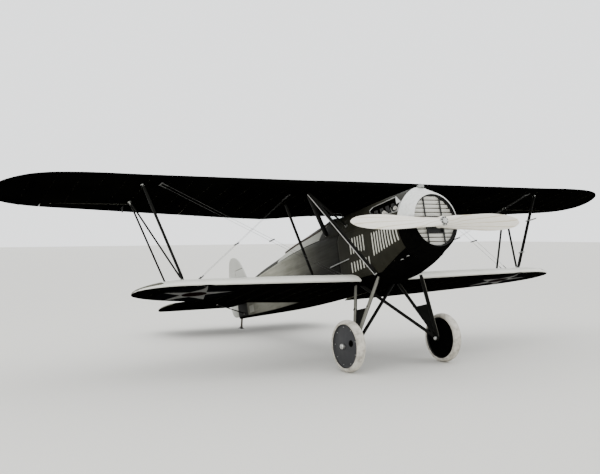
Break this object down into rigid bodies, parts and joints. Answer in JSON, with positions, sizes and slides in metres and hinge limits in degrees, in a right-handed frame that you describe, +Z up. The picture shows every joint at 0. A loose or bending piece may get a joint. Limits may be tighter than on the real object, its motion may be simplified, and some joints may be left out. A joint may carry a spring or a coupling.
{
  "type": "biplane",
  "caption": "Single-seat 1920s biplane parked tail down, with a thick upper wing, smaller lower wing, round nose radiator, louvred cowl and wooden propeller",
  "frame": {"origin": "centre of the bounding box in plan, on the ground under the tyres and the tail skid", "axes": "+X to the port wing tip, -Y to the nose, +Z up; the airframe is pitched nose up as it parks"},
  "size_m": [11.28, 7.2392, 2.8412],
  "materials": {
    "paint_light": "satin",
    "paint_dark": "satin",
    "paint_olive": "satin",
    "radiator_brass": "matte",
    "aluminium_plain": "satin",
    "engine_iron": "satin",
    "propeller_wood": "satin",
    "steel_hub": "satin",
    "fabric_olive": "matte",
    "wood_plain": "satin",
    "leather_dark": "satin",
    "steel_tube": "satin",
    "wing_wood": "matte",
    "wheel_disc": "matte",
    "tyre_pale": "matte",
    "windscreen_glass": "clear"
  },
  "bodies": {
    "airframe": {"nose_cowl": "paint_light", "cowl_top": "paint_light", "cowl_bottom": "paint_dark", "cowl_left": "paint_olive", "cowl_right": "paint_olive", "radiator_core": "radiator_brass", "radiator_shutters": "aluminium_plain", "engine": "engine_iron", "firewall": "aluminium_plain", "fuselage_belly": "fabric_olive", "fuselage_side_left": "fabric_olive", "fuselage_side_right": "fabric_olive", "cockpit_coaming_left": "paint_olive", "cockpit_coaming_right": "paint_olive", "front_deck": "paint_olive", "turtledeck": "fabric_olive", "rear_bulkhead": "wood_plain", "cockpit_floor": "wood_plain", "seat": "aluminium_plain", "seat_cushion": "leather_dark", "instrument_panel": "wood_plain", "control_column": "steel_tube", "cockpit_padding": "leather_dark", "upper_wing": "wing_wood", "lower_wing_left": "wing_wood", "lower_wing_right": "wing_wood", "n_strut_left": "steel_tube", "n_strut_right": "steel_tube", "cabane_tripod_left": "steel_tube", "cabane_tripod_right": "steel_tube", "cabane_rear_left": "steel_tube", "cabane_rear_right": "steel_tube", "flying_stays_left": "steel_tube", "flying_stays_right": "steel_tube", "gear_left": "steel_tube", "gear_right": "steel_tube", "tail_skid": "wood_plain", "stabiliser_left": "fabric_olive", "stabiliser_right": "fabric_olive", "fin": "fabric_olive", "tail_brace_left": "steel_tube", "tail_brace_right": "steel_tube", "windscreen": "windscreen_glass"},
    "propeller": {"propeller": "propeller_wood", "propeller_hub": "steel_hub"},
    "wheel_left": {"wheel_left": "wheel_disc", "tyre_left": "tyre_pale"},
    "wheel_right": {"wheel_right": "wheel_disc", "tyre_right": "tyre_pale"},
    "aileron_left": {"aileron_left": "fabric_olive"},
    "aileron_right": {"aileron_right": "fabric_olive"},
    "elevator": {"elevator_left": "fabric_olive", "elevator_right": "fabric_olive"},
    "rudder": {"rudder": "fabric_olive"}
  },
  "joints": [
    {"name": "propeller_spin", "type": "hinge", "parent": "airframe", "child": "propeller", "pos_m": [0, -3.51113, 2.17938], "axis": [0, 0.9763, -0.2164], "continuous": true},
    {"name": "wheel_left_spin", "type": "hinge", "parent": "airframe", "child": "wheel_left", "pos_m": [0.885, -2.4912, 0.381], "axis": [1, 0, 0], "continuous": true},
    {"name": "wheel_right_spin", "type": "hinge", "parent": "airframe", "child": "wheel_right", "pos_m": [-0.885, -2.4912, 0.381], "axis": [1, 0, 0], "continuous": true},
    {"name": "aileron_left_hinge", "type": "hinge", "parent": "airframe", "child": "aileron_left", "pos_m": [3.825, -0.85755, 2.48286], "axis": [0.9999, -0.0024, -0.0106], "range_deg": [-20, 20]},
    {"name": "aileron_right_hinge", "type": "hinge", "parent": "airframe", "child": "aileron_right", "pos_m": [-3.825, -0.85755, 2.48286], "axis": [0.9999, 0.0024, 0.0106], "range_deg": [-20, 20]},
    {"name": "elevator_hinge", "type": "hinge", "parent": "airframe", "child": "elevator", "pos_m": [0, 2.8413, 0.54779], "axis": [1, 0, 0], "range_deg": [-22, 28]},
    {"name": "rudder_hinge", "type": "hinge", "parent": "airframe", "child": "rudder", "pos_m": [0, 3.18763, 0.76088], "axis": [0, 0.2164, 0.9763], "range_deg": [-25, 25]}
  ],
  "couplings": [
    {"joint": "aileron_right_hinge", "follows": "aileron_left_hinge", "ratio": -1}
  ]
}
